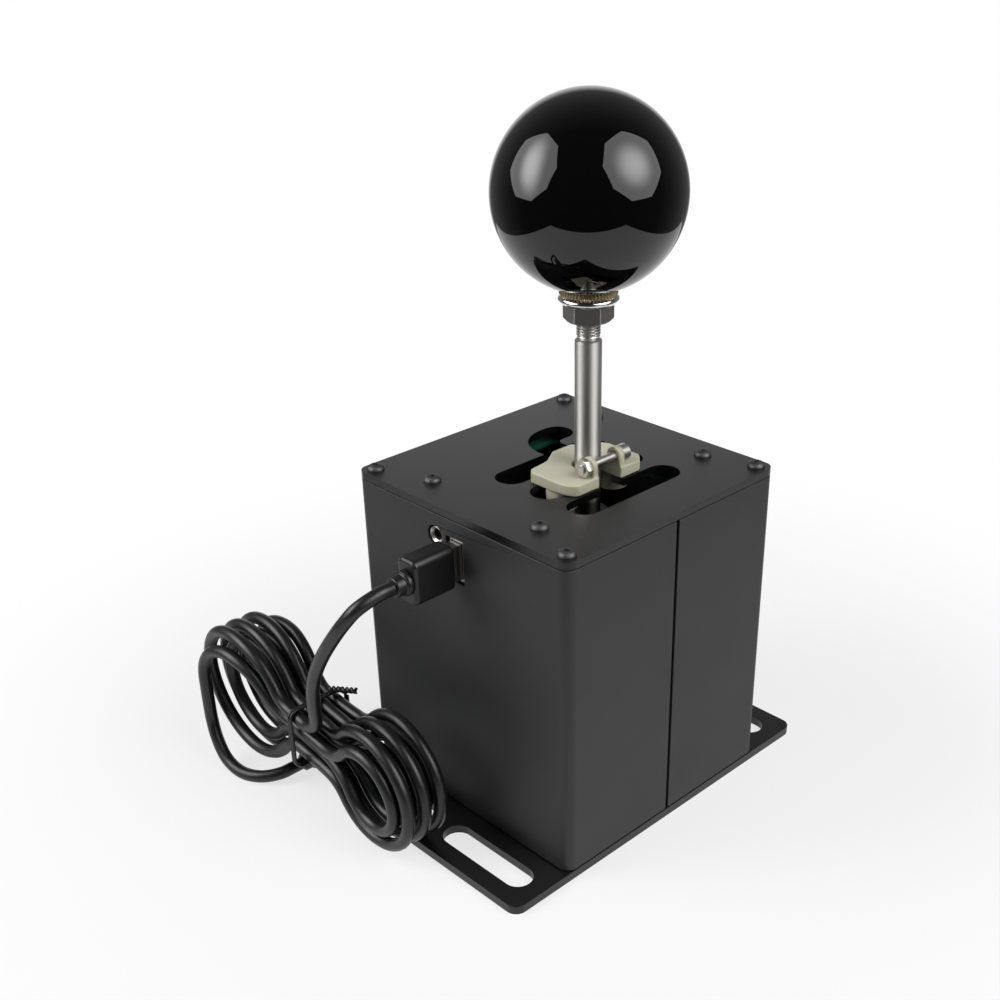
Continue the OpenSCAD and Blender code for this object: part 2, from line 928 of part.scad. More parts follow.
module far_shell() {
    color(chrome) at_far_plug() plug_shell_shape();
}

module far_body() {
    color([0.05, 0.05, 0.05]) at_far_plug() plug_body_shape();
}

module far_relief() {
    color([0.05, 0.05, 0.05]) at_far_plug() plug_relief_shape();
}

// Hank: loops of arcs, drawn in at the waist, laid front to back outside and back again inside

hank_at = [-44, -75];
waist_h = 8;
run_l = 4;
run_r = 12;
fillet_r = 10;
lobe_l = 22;
lobe_r = 18.8;
layer = 5.3;
fan = 0.25;
// How far the last turn leans out in front of the others
lean = 3.6;
loop_rings = 24;
// Rings past the last whole loop, where the cord leaves the left lobe's outermost point
tail_ring = 6;

reach_l = run_l + sqrt(pow(lobe_l + fillet_r, 2) - pow(waist_h + fillet_r, 2));
reach_r = run_r + sqrt(pow(lobe_r + fillet_r, 2) - pow(waist_h + fillet_r, 2));
turn_l = atan2(waist_h + fillet_r, reach_l - run_l);
turn_r = atan2(waist_h + fillet_r, reach_r - run_r);
// The left lobe rests on the second plug and the right lobe on the base plate's ear
axis_l = plug_t + seat_gap + cord_d / 2 + lobe_l;
axis_r = base_t + seat_gap + cord_d / 2 + lobe_r;
hank_turns = hank_loops + tail_ring / loop_rings;

function arc(c, r, a0, a1, n, i) = c + r * [cos(a0 + (a1 - a0) * i / n), sin(a0 + (a1 - a0) * i / n)];

// Ring k of a loop in its own plane, drawn in by d: left lobe first, then the right
function loop_point(k, d) =
    k < 2 ? arc([-run_l, waist_h + fillet_r], fillet_r + d, -90, turn_l - 180, 2, k) :
    k < 11 ? arc([-reach_l, 0], lobe_l - d, turn_l, 360 - turn_l, 8, k - 2) :
    k < 13 ? arc([-run_l, -waist_h - fillet_r], fillet_r + d, 180 - turn_l, 90, 2, k - 10) :
    k < 15 ? arc([run_r, -waist_h - fillet_r], fillet_r + d, 90, turn_r, 2, k - 13) :
    k < 22 ? arc([reach_r, 0], lobe_r - d, turn_r - 180, 180 - turn_r, 6, k - 15) :
    arc([run_r, waist_h + fillet_r], fillet_r + d, -turn_r, -90, 2, k - 21);

// A loop's point in space: the axis slopes down to the right, and the lobes fan out
function hang(p, across) =
    let (spread = 1 + fan * ease(run_l, reach_l, abs(p[0])),
         axis_z = axis_l + (axis_r - axis_l) * (p[0] + reach_l) / (reach_l + reach_r))
    [hank_at[0] + p[0], hank_at[1] + across * spread, axis_z + p[1]];

function across(u) = loop_step * (min(u, hank_turns - u) - hank_turns / 4)
    - lean * ease(hank_turns - 0.3, hank_turns, u);
function drawn(u) = layer * ease(hank_turns / 2 - 0.25, hank_turns / 2 + 0.25, u);

hank_body = [for (i = [0:hank_loops * loop_rings + tail_ring])
    let (u = i / loop_rings) hang(loop_point(i % loop_rings, drawn(u)), across(u))];
hank_last = len(hank_body) - 1;
hank_in = hang([cord_d - run_l, waist_h], across(0));
hank_out = hank_body[hank_last] - [0, 0, cord_d];
hank_route = concat([hank_in], hank_body, [hank_out]);

hank_gap = min([for (i = [0:hank_last], j = [i + 6:1:hank_last]) norm(hank_body[i] - hank_body[j])]) - cord_d;
echo(hank_gap = hank_gap);

module cord_hank() {
    color([0.04, 0.04, 0.04]) tube(hank_route, cord_d, 6, [0, 1, 0]);
}

// The lead from the plug to the hank's tie
lead_start = [usb_x, face_y - plug_out - plug_len - relief_len, usb_z];
lead_route = concat(
    [lead_start, lead_start - [0, 5, 0]],
    [[-2, -85.2, 96], [-5.3, -88, 90.9], [-10.5, -89.2, 83.6], [-15.8, -89.6, 75.9], [-20.6, -89.4, 68.1],
     [-24.7, -88.5, 59.7], [-27.9, -86.8, 51.2], [-31.1, -84.7, 43], [-34.2, -83.5, 38.4]],
    [2 * hank_in - hank_body[0], hank_in]);

module cord_lead() {
    color([0.04, 0.04, 0.04]) tube(lead_route, cord_d, 10, [1, 1, -1]);
}

// The tail from the hank to the second plug
tail_route = concat(
    [hank_out, hank_out - [0, 0, cord_d]],
    [[-90.5, -90.2, 17.5], [-87, -91, 10.5], [-81, -91.5, 5], [-73.5, -90.5, 2.6], [-66.5, -87, 2.6],
     [-62, -81.5, 3.6]],
    [far_end - [0, cord_d, 0], far_end]);

module cord_tail() {
    color([0.04, 0.04, 0.04]) tube(tail_route, cord_d, 10, [1, -1, 1]);
}

// Twist tie round the waist, and its two ends twisted together
tie_t = 1.1;
tie_w = 2.2;
tie_y = loop_step * hank_turns / 4 + cord_d / 2 + seat_gap;
tie_z = waist_h + cord_d / 2 + seat_gap;
tie_at = hang([0, 0], 0);

module cord_tie() {
    r = cord_d / 2 + seat_gap;
    color([0.03, 0.03, 0.03])
    translate(tie_at)
        rotate([90, 0, 90])
            linear_extrude(tie_w, center = true)
                difference() {
                    rounded_rect(2 * (tie_y + tie_t), 2 * (tie_z + tie_t), r + tie_t);
                    rounded_rect(2 * tie_y, 2 * tie_z, r);
                }
}

module tie_ends() {
    length = 12;
    slope = 76;
    color([0.03, 0.03, 0.03])
    translate(tie_at + [0, tie_y / 2, tie_z + tie_t + seat_gap + tie_t * sin(slope)])
        rotate([0, slope, 15])
            for (s = [0, 180])
                rotate(s) tube(coil(3, tie_t / 2 + 0.05, length), tie_t, 6, [0, 0, 1]);
}

base_plate();
front_shell();
rear_shell();
gate_plate();
corner_posts();
corner_screws();
base_screws();
board_screws();
board_spacers();
board_nuts();
circuit_board();
board_chips();
gear_sensors();
data_socket();
socket_tongue();
jack_body();
jack_ring();
pivot_bracket();
bracket_screws();
sway_pins();
sway_springs();
gimbal_ring();
sway_bushes();
rock_pin();
rock_springs();
lever_foot();
rock_bushes();
lever_rod();
sensor_magnet();
lock_nut();
knob_collar();
knob_insert();
knob();
slider();
slider_bolt();
slider_nut();
plug_shell();
plug_body();
plug_relief();
cord_lead();
cord_hank();
cord_tie();
tie_ends();
cord_tail();
far_relief();
far_body();
far_shell();
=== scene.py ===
# %% [markdown]
# # A gear shifter for a racing simulator
# The shifter is a folded sheet-metal box with a slotted top plate, a steel lever with a ball
# knob, a plastic slider and a tied cord with two plugs.
# Its construction is already modelled to size, so this lesson loads that model as a fixed
# frame and gives it edges, surfaces, a cord and light.
# Every number below is in metres unless its name says otherwise.

# %% Load the frame
import json
import math

import bpy
import bmesh
from mathutils import Matrix, Vector


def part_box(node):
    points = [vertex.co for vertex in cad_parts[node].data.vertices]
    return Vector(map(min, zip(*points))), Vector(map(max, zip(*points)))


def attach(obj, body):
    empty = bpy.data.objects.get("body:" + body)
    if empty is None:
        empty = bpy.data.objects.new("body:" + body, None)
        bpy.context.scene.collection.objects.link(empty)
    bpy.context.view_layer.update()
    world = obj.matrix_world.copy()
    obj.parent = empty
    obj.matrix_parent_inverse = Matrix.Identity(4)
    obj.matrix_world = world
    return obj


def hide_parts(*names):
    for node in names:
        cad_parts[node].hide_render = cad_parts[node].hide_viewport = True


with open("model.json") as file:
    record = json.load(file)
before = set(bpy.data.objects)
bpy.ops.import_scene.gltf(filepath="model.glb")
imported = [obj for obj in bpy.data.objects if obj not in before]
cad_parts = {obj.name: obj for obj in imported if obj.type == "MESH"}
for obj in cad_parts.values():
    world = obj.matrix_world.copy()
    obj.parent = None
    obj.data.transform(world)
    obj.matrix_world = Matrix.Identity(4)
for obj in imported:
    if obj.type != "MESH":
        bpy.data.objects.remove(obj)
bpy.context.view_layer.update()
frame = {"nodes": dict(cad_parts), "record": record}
nodes = frame["nodes"]
MM = 0.001

# %% [markdown]
# ## The camera
# A product photograph is taken with a normal lens from a little above the top plate.
# The lens and the viewpoint come from straight edges of the box, whose sizes are known:
# their directions in the picture leave only one place for the camera to stand.
# The picture was cropped, so the optical axis isn't in its middle, and the lens shift says so.

# %% Place the camera
PICTURE_PX = 1000
FOCAL_PX = 1341.17
AXIS_PX = (530.91, 586.7)
SENSOR_MM = 36

camera = bpy.data.objects.new("camera", bpy.data.cameras.new("camera"))
bpy.context.scene.collection.objects.link(camera)
camera.data.sensor_width = SENSOR_MM
camera.data.lens = SENSOR_MM * FOCAL_PX / PICTURE_PX
camera.data.shift_x = (PICTURE_PX / 2 - AXIS_PX[0]) / PICTURE_PX
camera.data.shift_y = (AXIS_PX[1] - PICTURE_PX / 2) / PICTURE_PX
camera.data.clip_start = 0.01

CAMERA_AT = (0.28065, -0.28371, 0.29043)
yaw, pitch, roll = math.radians(46.39), math.radians(28.79), math.radians(-1.02)
ahead = math.cos(pitch)
forward = Vector((-math.sin(yaw) * ahead, math.cos(yaw) * ahead, -math.sin(pitch)))
level = Vector((math.cos(yaw), math.sin(yaw), 0))
upright = level.cross(forward)
right = math.cos(roll) * level + math.sin(roll) * upright
up = math.cos(roll) * upright - math.sin(roll) * level
turn = Matrix((right, up, -forward)).transposed()
camera.matrix_world = Matrix.Translation(CAMERA_AT) @ turn.to_4x4()
bpy.context.scene.camera = camera
print("camera: lens", round(camera.data.lens, 2), "mm")

# %% [markdown]
# ## The cord's hank
# The cord is about 1.77 metres long and is sold wound into a figure of two lobes with a wire
# tie round its waist.
# A loop drawn from arcs keeps the bends round and the gaps even: two lobe circles, and
# fillets that lead from each lobe into the waist.
# The second half of the loops lies inside the first, at the same centres and a smaller radius.
# Each loop has 24 points: eight and six on the lobes, two on each fillet and one on each run.

# %% Loop of arcs
CORD_D = 0.0045
LOOP_STEP = 0.0054
LAYER = 0.0053
LOOPS = 6
RINGS = 24
TAIL_RING = 6
HANK_X, HANK_Y = -0.044, -0.075
WAIST, FILLET = 0.008, 0.010
RUN_L, RUN_R = 0.004, 0.012
LOBE_L, LOBE_R = 0.022, 0.0188
REACH_L = RUN_L + math.sqrt((LOBE_L + FILLET) ** 2 - (WAIST + FILLET) ** 2)
REACH_R = RUN_R + math.sqrt((LOBE_R + FILLET) ** 2 - (WAIST + FILLET) ** 2)
TURN_L = math.degrees(math.atan2(WAIST + FILLET, REACH_L - RUN_L))
TURN_R = math.degrees(math.atan2(WAIST + FILLET, REACH_R - RUN_R))


def arc(cx, cy, r, a0, a1, t):
    """Point at a share t of an arc between two angles in degrees."""
    a = math.radians(a0 + (a1 - a0) * t)
    return cx + r * math.cos(a), cy + r * math.sin(a)


def loop_point(k, drawn):
    """Point k of 24 round one loop in its own plane, drawn in by a layer."""
    side = WAIST + FILLET
    if k < 2:
        return arc(-RUN_L, side, FILLET + drawn, -90, TURN_L - 180, k / 2)
    if k < 10:
        return arc(-REACH_L, 0, LOBE_L - drawn, TURN_L, 360 - TURN_L, (k - 2) / 8)
    if k < 12:
        return arc(-RUN_L, -side, FILLET + drawn, 180 - TURN_L, 90, (k - 10) / 2)
    if k < 13:
        return -RUN_L + (RUN_L + RUN_R) * (k - 12), drawn - WAIST
    if k < 15:
        return arc(RUN_R, -side, FILLET + drawn, 90, TURN_R, (k - 13) / 2)
    if k < 21:
        return arc(REACH_R, 0, LOBE_R - drawn, TURN_R - 180, 180 - TURN_R, (k - 15) / 6)
    if k < 23:
        return arc(RUN_R, side, FILLET + drawn, -TURN_R, -90, (k - 21) / 2)
    return RUN_R - (RUN_L + RUN_R) * (k - 23), WAIST - drawn


print("loop: lobes reach", round(REACH_L + LOBE_L, 4), "and", round(REACH_R + LOBE_R, 4), "m")

# %% Loops side by side
AXIS_L, AXIS_R = 0.03305, 0.02435
FAN = 0.25
LEAN, LEAN_TURNS = 0.0036, 0.3
SWITCH_TURNS = 0.25
TURNS = LOOPS + TAIL_RING / RINGS


def ease(a, b, x):
    """A soft step from 0 at a to 1 at b."""
    u = min(1, max(0, (x - a) / (b - a)))
    return u * u * (3 - 2 * u)


def hang(p, aside):
    """A loop's point in space: the axis slopes down to the right, and the lobes fan out."""
    spread = 1 + FAN * ease(RUN_L, REACH_L, abs(p[0]))
    axis = AXIS_L + (AXIS_R - AXIS_L) * (p[0] + REACH_L) / (REACH_L + REACH_R)
    return Vector((HANK_X + p[0], HANK_Y + aside * spread, axis + p[1]))


def across(u):
    """Place across the hank after u turns: out to the last loop and back again."""
    there_and_back = min(u, TURNS - u) - TURNS / 4
    return LOOP_STEP * there_and_back - LEAN * ease(TURNS - LEAN_TURNS, TURNS, u)


def layer_in(u):
    """How far the loop is drawn in: a whole layer on the way back."""
    return LAYER * ease(TURNS / 2 - SWITCH_TURNS, TURNS / 2 + SWITCH_TURNS, u)


FINE = 6
hank = []
for i in range((LOOPS * RINGS + TAIL_RING) * FINE + 1):
    k = i / FINE
    hank.append(hang(loop_point(k % RINGS, layer_in(k / RINGS)), across(k / RINGS)))
hank_in = hang((CORD_D - RUN_L, WAIST), across(0))
hank_out = hank[-1] - Vector((0, 0, CORD_D))
print("hank:", len(hank), "points")

# %% [markdown]
# ## The lead and the tail
# The lead leaves the plug level, sags forward and comes down to the tie.
# The tail drops in front of the left lobe and runs along the floor to the second plug.
# Both are a few measured points with a smooth curve through them: a centripetal spline
# passes through every point and never loops or overshoots between them.

# %% Route of the cord
LEAD = [(-0.0005, -0.0727, 0.0988), (-0.0005, -0.0777, 0.0988), (-0.002, -0.0852, 0.096),
        (-0.0053, -0.088, 0.0909), (-0.0105, -0.0892, 0.0836), (-0.0158, -0.0896, 0.0759),
        (-0.0206, -0.0894, 0.0681), (-0.0247, -0.0885, 0.0597), (-0.0279, -0.0868, 0.0512),
        (-0.0311, -0.0847, 0.043), (-0.0342, -0.0835, 0.0384)]
TAIL = [(-0.0905, -0.0902, 0.0175), (-0.087, -0.091, 0.0105), (-0.081, -0.0915, 0.005),
        (-0.0735, -0.0905, 0.0026), (-0.0665, -0.087, 0.0026), (-0.062, -0.0815, 0.0036)]
FAR_END = Vector((-0.061, -0.073, 0.00425))
SPLINE_STEPS = 8


def smooth(points, steps):
    """Centripetal spline through all the points; a mirrored point leads in and out of it."""
    points = [Vector(p) for p in points]
    points = [2 * points[0] - points[1]] + points + [2 * points[-1] - points[-2]]
    line = []
    for a, b, c, d in zip(points, points[1:], points[2:], points[3:]):
        ta = 0
        tb = ta + math.sqrt((b - a).length)
        tc = tb + math.sqrt((c - b).length)
        td = tc + math.sqrt((d - c).length)
        for s in range(steps):
            t = tb + (tc - tb) * s / steps
            ab = a.lerp(b, (t - ta) / (tb - ta))
            bc = b.lerp(c, (t - tb) / (tc - tb))
            cd = c.lerp(d, (t - tc) / (td - tc))
            before = ab.lerp(bc, (t - ta) / (tc - ta))
            after = bc.lerp(cd, (t - tb) / (td - tb))
            line.append(before.lerp(after, (t - tb) / (tc - tb)))
    return line + [points[-2]]


lead = smooth(LEAD + [2 * hank_in - hank[0], hank_in, hank[0]], SPLINE_STEPS)
tail = smooth([hank[-1], hank_out, hank_out - Vector((0, 0, CORD_D))] + TAIL
              + [FAR_END - Vector((0, CORD_D, 0)), FAR_END], SPLINE_STEPS)
route = lead[:-1] + hank + tail[1:]

# %% [markdown]
# ## One curve for the whole cord
# A cord is one extrusion of soft plastic over its wires, so it is one curve with a round bevel.
# A poly spline keeps exactly the points made above, and the bevel makes the tube.
# The bevel is one metre times each point's radius, so the curve's own box is that of the tube.


# %% Cord as a curve
def wire(name, points, d, around=6):
    """A round wire or cord along the points."""
    data = bpy.data.curves.new(name, "CURVE")
    data.dimensions = "3D"
    data.bevel_depth = 1
    data.bevel_resolution = around
    data.use_fill_caps = True
    spline = data.splines.new("POLY")
    spline.points.add(len(points) - 1)
    for point, p in zip(spline.points, points):
        point.co = (*p, 1)
        point.radius = d / 2
    spline.use_smooth = True
    piece = bpy.data.objects.new(name, data)
    bpy.context.scene.collection.objects.link(piece)
    return piece


cord = wire("cord", route, CORD_D)
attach(cord, "housing")
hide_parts("cord_lead", "cord_hank", "cord_tail")
print("cord: a curve", CORD_D / MM, "mm thick")

# %% [markdown]
# ## The wire tie
# The hank is held by a thin plastic-covered wire that goes twice round the waist.
# Its two ends are twisted together on top, so they are two helices about one axis.

# %% Tie round the waist
TIE_D, TIE_GAP = 0.0011, 0.0003
TIE_WRAPS, TIE_STEP = 2, 6
TIE_Y = LOOP_STEP * TURNS / 4 + CORD_D / 2 + TIE_GAP
TIE_Z = WAIST + CORD_D / 2 + TIE_GAP
TIE_R = CORD_D / 2 + TIE_GAP
tie_at = hang((0, 0), 0)


def tie_point(angle):
    """Point on the rounded rectangle round the waist, at the middle of the wire."""
    r = TIE_R + TIE_D / 2
    corners = [(1, 1, 0), (-1, 1, 90), (-1, -1, 180), (1, -1, 270)]
    sy, sz, start = corners[int(angle // 90) % 4]
    a = math.radians(start + angle % 90)
    return sy * (TIE_Y - TIE_R) + r * math.cos(a), sz * (TIE_Z - TIE_R) + r * math.sin(a)


wraps = []
for i in range(0, TIE_WRAPS * 360 + 1, TIE_STEP):
    y, z = tie_point(i % 360)
    wraps.append(tie_at + Vector((TIE_D * (i / 360 - 1), y, z)))
tie = wire("wire_tie", wraps, TIE_D, around=4)
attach(tie, "housing")
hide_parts("cord_tie")
print("tie:", TIE_WRAPS, "turns,", len(wraps), "points")

# %% Twisted ends of the tie
ENDS_LENGTH = 0.012
ENDS_SLOPE, ENDS_SIDE = math.radians(76), math.radians(15)
TWISTS, TWIST_STEPS = 3, 96
STRAND_R = TIE_D / 2 + 0.00005
ends_turn = Matrix.Rotation(ENDS_SIDE, 3, "Z") @ Matrix.Rotation(ENDS_SLOPE, 3, "Y")
ends_up = TIE_Z + TIE_GAP + TIE_D * (1 + math.sin(ENDS_SLOPE))
ends_at = tie_at + Vector((0, TIE_Y / 2, ends_up))
tie_ends = []
for start in (0, 180):
    strand = []
    for i in range(TWIST_STEPS + 1):
        a = math.radians(start + 360 * TWISTS * i / TWIST_STEPS)
        along = ENDS_LENGTH * i / TWIST_STEPS
        strand.append(ends_at + ends_turn @ Vector((STRAND_R * math.cos(a), STRAND_R * math.sin(a), along)))
    end = wire(f"tie_end_{start}", strand, TIE_D, around=4)
    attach(end, "housing")
    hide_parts("tie_ends")
    tie_ends.append(end)
print("tie ends:", len(tie_ends), "strands")

# %% [markdown]
# ## Studio
# The ball knob mirrors the studio: two large eight-sided softboxes at the sides, a white floor
# and a dark room in front.
# Softboxes are modelled as glowing eight-sided sheets, because their outline shows in the ball.
# Their directions were read from where they appear on the ball: the mirrored direction of the
# surface there points at the lamp.
# The floor is a table top, whose edge shows in the ball too. It is white to the camera and to
# mirrors, and near the shifter a share of it is plain paper, so that the shadow stays.

# %% Softboxes
knob_low, knob_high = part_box("knob")
KNOB_R = (knob_high.x - knob_low.x) / 2
ball = Vector(((knob_low.x + knob_high.x) / 2, (knob_low.y + knob_high.y) / 2, knob_high.z - KNOB_R))
LAMP_FAR = 0.75
LAMP_SIDES = 8


def softbox(name, way, radius, glow, hot, reach):
    """A lamp in a direction of the camera's own axes, facing the ball, with a brighter middle."""
    away = (way[0] * right + way[1] * up - way[2] * forward).normalized()
    data = bpy.data.meshes.new(name)
    sheet = bmesh.new()
    bmesh.ops.create_circle(sheet, cap_ends=True, segments=LAMP_SIDES, radius=radius)
    sheet.to_mesh(data)
    sheet.free()
    lamp = bpy.data.objects.new(name, data)
    bpy.context.scene.collection.objects.link(lamp)
    aim = away.to_track_quat("Z", "Y").to_matrix().to_4x4()
    flat_top = Matrix.Rotation(math.pi / LAMP_SIDES, 4, "Z")
    lamp.matrix_world = Matrix.Translation(ball + LAMP_FAR * away) @ aim @ flat_top
    lamp.visible_camera = False

    paper = bpy.data.materials.new(name)
    paper.use_nodes = True
    tree = paper.node_tree
    tree.nodes.clear()
    place = tree.nodes.new("ShaderNodeTexCoord")
    shape = tree.nodes.new("ShaderNodeVectorMath")
    shape.operation = "DIVIDE"
    shape.inputs[1].default_value = (reach[0] * radius, reach[1] * radius, 1)
    far = tree.nodes.new("ShaderNodeVectorMath")
    far.operation = "LENGTH"
    fall = tree.nodes.new("ShaderNodeMapRange")
    fall.interpolation_type = "SMOOTHERSTEP"
    fall.inputs["To Min"].default_value = hot
    fall.inputs["To Max"].default_value = glow
    glowing = tree.nodes.new("ShaderNodeEmission")
    out = tree.nodes.new("ShaderNodeOutputMaterial")
    tree.links.new(place.outputs["Object"], shape.inputs[0])
    tree.links.new(shape.outputs[0], far.inputs[0])
    tree.links.new(far.outputs["Value"], fall.inputs["Value"])
    tree.links.new(fall.outputs["Result"], glowing.inputs["Strength"])
    tree.links.new(glowing.outputs[0], out.inputs["Surface"])
    data.materials.append(paper)


softbox("softbox_left", (-0.889, 0.305, 0.347), 0.447, glow=2.4, hot=9.5, reach=(0.65, 1.1))
softbox("softbox_right", (0.726, 0.269, 0.673), 0.515, glow=2.4, hot=8.5, reach=(0.8, 0.8))
print("studio: 2 softboxes")


# %% Floor
def background_ray(tree):
    """1 for a ray that shows the background: seen directly, in a mirror or through glass."""
    seen = tree.nodes.new("ShaderNodeLightPath")
    total = seen.outputs["Is Camera Ray"]
    for kind in ("Is Glossy Ray", "Is Transmission Ray"):
        either = tree.nodes.new("ShaderNodeMath")
        either.operation = "MAXIMUM"
        tree.links.new(total, either.inputs[0])
        tree.links.new(seen.outputs[kind], either.inputs[1])
        total = either.outputs[0]
    return total


TABLE = Matrix.Diagonal((0.332, 0.405, 1, 1))
TABLE_AT = (-0.023, 0.04, 0)
TABLE_TURN = math.radians(42.5)
FLOOR_GREY = 0.68
SHADOW_FADE = {"From Min": 0.12, "From Max": 0.29, "To Min": 0.7, "To Max": 1.0}
floor = bpy.data.objects.new("floor", bpy.data.meshes.new("floor"))
sheet = bmesh.new()
bmesh.ops.create_grid(sheet, x_segments=1, y_segments=1, size=1, matrix=TABLE)
sheet.to_mesh(floor.data)
sheet.free()
floor.location = TABLE_AT
floor.rotation_euler.z = TABLE_TURN
bpy.context.scene.collection.objects.link(floor)

floor_paint = bpy.data.materials.new("floor_white")
floor_paint.use_nodes = True
tree = floor_paint.node_tree
tree.nodes.clear()
matt = tree.nodes.new("ShaderNodeBsdfDiffuse")
matt.inputs["Color"].default_value = (FLOOR_GREY, FLOOR_GREY, FLOOR_GREY, 1)
white = tree.nodes.new("ShaderNodeEmission")
white.inputs["Strength"].default_value = 1.0
place = tree.nodes.new("ShaderNodeNewGeometry")
reach = tree.nodes.new("ShaderNodeVectorMath")
reach.operation = "LENGTH"
fade = tree.nodes.new("ShaderNodeMapRange")
fade.interpolation_type = "SMOOTHSTEP"
for title, value in SHADOW_FADE.items():
    fade.inputs[title].default_value = value
share = tree.nodes.new("ShaderNodeMath")
share.operation = "MULTIPLY"
tree.links.new(place.outputs["Position"], reach.inputs[0])
tree.links.new(reach.outputs["Value"], fade.inputs["Value"])
tree.links.new(fade.outputs["Result"], share.inputs[1])
blend = tree.nodes.new("ShaderNodeMixShader")
out = tree.nodes.new("ShaderNodeOutputMaterial")
tree.links.new(background_ray(tree), share.inputs[0])
tree.links.new(share.outputs[0], blend.inputs["Fac"])
tree.links.new(matt.outputs[0], blend.inputs[1])
tree.links.new(white.outputs[0], blend.inputs[2])
tree.links.new(blend.outputs[0], out.inputs["Surface"])
floor.data.materials.append(floor_paint)
print("floor: shadow fades out", SHADOW_FADE["From Max"], "m from the middle")

# %% [markdown]
# ## The room's light
# The paper behind the shifter is white, and the rest of the room is dim.
# The world is white where the camera looks, and for mirrors and clear pieces it is white on the
# side of the paper and dim on the photographer's side.

# %% World
world = bpy.data.worlds.new("studio")
bpy.context.scene.world = world
world.use_nodes = True
tree = world.node_tree
tree.nodes.clear()
way = tree.nodes.new("ShaderNodeTexCoord")
towards = tree.nodes.new("ShaderNodeVectorMath")
towards.operation = "DOT_PRODUCT"
towards.inputs[1].default_value = Vector((forward.x, forward.y, 0)).normalized()
share = tree.nodes.new("ShaderNodeMapRange")
share.inputs["From Min"].default_value = -1
ramp = tree.nodes.new("ShaderNodeValToRGB")
# Greys from the photographer's side at 0 to the side of the paper at 1.
ROOM = ((0.0, 0.03), (0.45, 0.04), (0.80, 0.18), (0.94, 0.20), (0.985, 1.0))
for place, _ in ROOM[1:-1]:
    ramp.color_ramp.elements.new(place)
for stop, (place, grey) in zip(ramp.color_ramp.elements, ROOM):
    stop.position = place
    stop.color = (grey, grey, grey, 1)
seen = tree.nodes.new("ShaderNodeLightPath")
room = tree.nodes.new("ShaderNodeMix")
room.data_type = "RGBA"
room.inputs["B"].default_value = (1, 1, 1, 1)
back = tree.nodes.new("ShaderNodeBackground")
out = tree.nodes.new("ShaderNodeOutputWorld")
tree.links.new(way.outputs["Generated"], towards.inputs[0])
tree.links.new(towards.outputs["Value"], share.inputs["Value"])
tree.links.new(share.outputs["Result"], ramp.inputs["Fac"])
tree.links.new(seen.outputs["Is Camera Ray"], room.inputs["Factor"])
tree.links.new(ramp.outputs["Color"], room.inputs["A"])
tree.links.new(room.outputs["Result"], back.inputs["Color"])
tree.links.new(back.outputs[0], out.inputs["Surface"])
bpy.context.scene.view_settings.view_transform = "Standard"
print("room:", len(ROOM), "greys")

# %% [markdown]
# ## Shared surface effects
# Three effects appear on more than one finish, so each is a node group with named inputs.
# Powder paint has a fine grain and a cloudy tone; drawn metal has streaks along its length;
# moulded plastic has a soft, slow waviness and small differences in gloss.
# The groups give colours, roughness and heights only, and each material keeps its own shader.


# %% Group maker
def new_group(name, inputs, outputs):
    """A shader node group with named sockets, and its two end nodes."""
    group = bpy.data.node_groups.new(name, "ShaderNodeTree")
    for title, kind, value in inputs:
        socket = group.interface.new_socket(name=title, in_out="INPUT", socket_type=kind)
        socket.default_value = value
    for title, kind in outputs:
        group.interface.new_socket(name=title, in_out="OUTPUT", socket_type=kind)
    return group, group.nodes.new("NodeGroupInput"), group.nodes.new("NodeGroupOutput")


def add(tree, kind, **values):
    """A new node with some of its settings."""
    node = tree.nodes.new(kind)
    for key, value in values.items():
        setattr(node, key, value)
    return node


def vary(tree, factor, low, high):
    """A map range from a 0..1 factor to a low and a high value, given as numbers or sockets."""
    node = add(tree, "ShaderNodeMapRange")
    tree.links.new(factor, node.inputs["Value"])
    for title, value in (("To Min", low), ("To Max", high)):
        if isinstance(value, (int, float)):
            node.inputs[title].default_value = value
        else:
            tree.links.new(value, node.inputs[title])
    return node.outputs["Result"]


def tint(tree, colour, factor):
    """The colour times a factor."""
    node = add(tree, "ShaderNodeMix", data_type="RGBA", blend_type="MULTIPLY")
    node.inputs["Factor"].default_value = 1
    tree.links.new(colour, node.inputs["A"])
    tree.links.new(factor, node.inputs["B"])
    return node.outputs["Result"]


FLOAT, COLOUR = "NodeSocketFloat", "NodeSocketColor"

# %% Powder grain
powder, gin, gout = new_group(
    "Powder grain",
    [("Colour", COLOUR, (0.03, 0.03, 0.03, 1)), ("Roughness", FLOAT, 0.5),
     ("Grain", FLOAT, 2200.0), ("Clouds", FLOAT, 0.12)],
    [("Colour", COLOUR), ("Roughness", FLOAT), ("Height", FLOAT)])
place = add(powder, "ShaderNodeTexCoord")
grain = add(powder, "ShaderNodeTexNoise")
grain.inputs["Detail"].default_value = 3
cloud = add(powder, "ShaderNodeTexNoise")
cloud.inputs["Scale"].default_value = 45
cloud.inputs["Detail"].default_value = 4
powder.links.new(place.outputs["Object"], grain.inputs["Vector"])
powder.links.new(gin.outputs["Grain"], grain.inputs["Scale"])
powder.links.new(place.outputs["Object"], cloud.inputs["Vector"])
less = add(powder, "ShaderNodeMath", operation="SUBTRACT")
less.inputs[0].default_value = 1
powder.links.new(gin.outputs["Clouds"], less.inputs[1])
more = add(powder, "ShaderNodeMath", operation="ADD")
more.inputs[0].default_value = 1
powder.links.new(gin.outputs["Clouds"], more.inputs[1])
clouded = vary(powder, cloud.outputs["Fac"], less.outputs[0], more.outputs[0])
speck = vary(powder, grain.outputs["Fac"], 0.85, 1.15)
both = add(powder, "ShaderNodeMath", operation="MULTIPLY")
powder.links.new(clouded, both.inputs[0])
powder.links.new(speck, both.inputs[1])
powder.links.new(tint(powder, gin.outputs["Colour"], both.outputs[0]), gout.inputs["Colour"])
